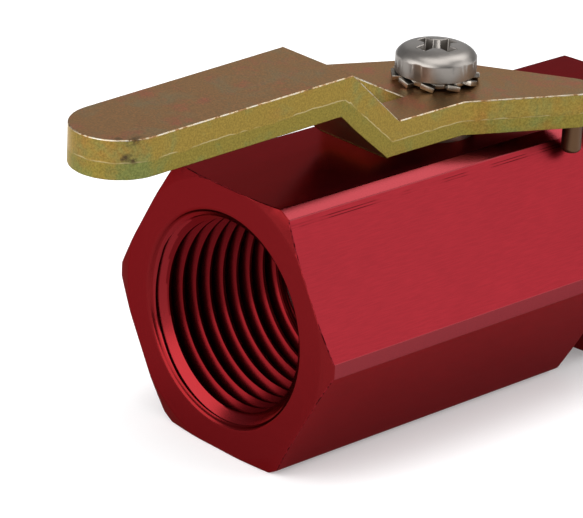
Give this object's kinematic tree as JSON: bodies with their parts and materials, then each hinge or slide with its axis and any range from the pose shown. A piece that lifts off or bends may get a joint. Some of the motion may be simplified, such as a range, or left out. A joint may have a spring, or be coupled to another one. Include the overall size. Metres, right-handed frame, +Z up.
{
  "type": "fuel shut-off valve",
  "caption": "Small inline fuel shut-off ball valve: hexagon bar body with a threaded port at each end and a bent plate lever that turns a quarter turn.",
  "frame": {"origin": "centre of the flat that the valve rests on, straight below the stem axis", "axes": "+X along the flow towards the end cap, +Y away from the lever's stop arm, +Z up along the stem"},
  "size_m": [0.0731, 0.0304, 0.038],
  "materials": {
    "red_anodised": "red anodised aluminium, semi-gloss, brushed along the bar",
    "black_rubber": "black nitrile rubber, matt",
    "ball_steel": "polished stainless steel",
    "white_ptfe": "white PTFE, waxy",
    "retainer_brass": "machined brass, dull",
    "stem_steel": "turned steel, satin",
    "lever_zinc": "steel plate, yellow chromate over zinc, patchy",
    "washer_steel": "spring steel, bright zinc",
    "screw_steel": "stainless steel, satin"
  },
  "bodies": {
    "housing": {"valve_body": "red_anodised", "end_cap": "red_anodised", "end_cap_o_ring": "black_rubber", "front_seat": "white_ptfe", "rear_seat": "white_ptfe", "seat_retainer": "retainer_brass"},
    "turning_stem": {"stem": "stem_steel", "stem_o_ring": "black_rubber", "stem_thrust_washer": "white_ptfe", "ball": "ball_steel", "lever": "lever_zinc", "star_washer": "washer_steel", "lever_screw": "screw_steel"}
  },
  "joints": [
    {"name": "lever_turn", "type": "hinge", "parent": "housing", "child": "turning_stem", "pos_m": [0, 0, 0.0135], "axis": [0, 0, 1], "range_deg": [-90, 0]}
  ]
}
